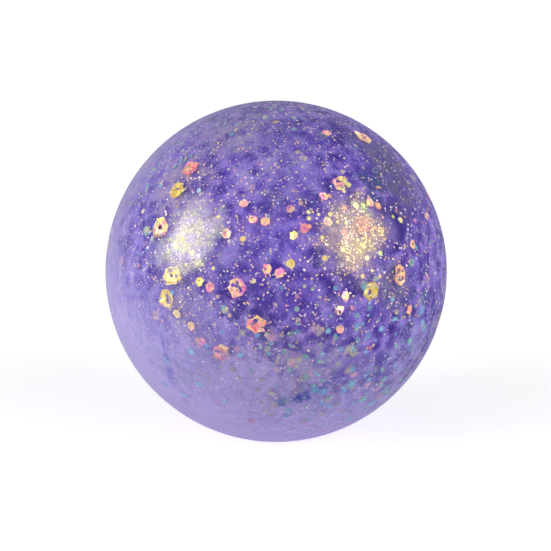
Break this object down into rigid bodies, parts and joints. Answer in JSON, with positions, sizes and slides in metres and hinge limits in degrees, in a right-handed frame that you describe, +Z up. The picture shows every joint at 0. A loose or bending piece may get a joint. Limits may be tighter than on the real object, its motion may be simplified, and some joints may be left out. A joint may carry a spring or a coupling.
{
  "type": "glitter squeeze ball",
  "caption": "Soft clear ball filled with violet gel and hexagonal glitter film; it flattens when pressed, springs back, and its fill swirls inside the skin.",
  "frame": {"origin": "middle of the flat patch that the ball rests on", "axes": "+Z up out of the surface it rests on, -Y towards the side that the picture shows, +X to the right"},
  "size_m": [0.07, 0.07, 0.0693],
  "materials": {
    "clear_skin": "satin",
    "plug_rubber": "satin",
    "violet_gel": "gloss",
    "gold_film": "gloss",
    "coral_film": "gloss",
    "teal_film": "gloss",
    "green_film": "gloss",
    "pearl_film": "gloss"
  },
  "bodies": {
    "base": {"lower_skin": "clear_skin", "fill_plug": "plug_rubber", "seal_disc": "plug_rubber"},
    "crown": {"upper_skin": "clear_skin"},
    "fill": {"gel_fill": "violet_gel", "large_gold_flakes": "gold_film", "large_coral_flakes": "coral_film", "large_teal_flakes": "teal_film", "medium_gold_flakes": "gold_film", "medium_coral_flakes": "coral_film", "medium_teal_flakes": "teal_film", "medium_green_flakes": "green_film", "small_gold_flakes": "gold_film", "small_coral_flakes": "coral_film", "small_teal_flakes": "teal_film", "small_pearl_flakes": "pearl_film", "fine_gold_flakes": "gold_film", "fine_coral_flakes": "coral_film", "fine_teal_flakes": "teal_film", "fine_pearl_flakes": "pearl_film"}
  },
  "joints": [
    {"name": "squeeze", "type": "slide", "parent": "base", "child": "crown", "axis": [0, 0, -1], "range_m": [0, 0.024], "stiffness_N_per_m": 2000, "deforming": ["upper_skin", "lower_skin", "gel_fill", "large_gold_flakes", "large_coral_flakes", "large_teal_flakes", "medium_gold_flakes", "medium_coral_flakes", "medium_teal_flakes", "medium_green_flakes", "small_gold_flakes", "small_coral_flakes", "small_teal_flakes", "small_pearl_flakes", "fine_gold_flakes", "fine_coral_flakes", "fine_teal_flakes", "fine_pearl_flakes"]},
    {"name": "fill_swirl", "type": "hinge", "parent": "base", "child": "fill", "pos_m": [0, 0, 0.0343], "axis": [0, 0, 1], "continuous": true}
  ]
}
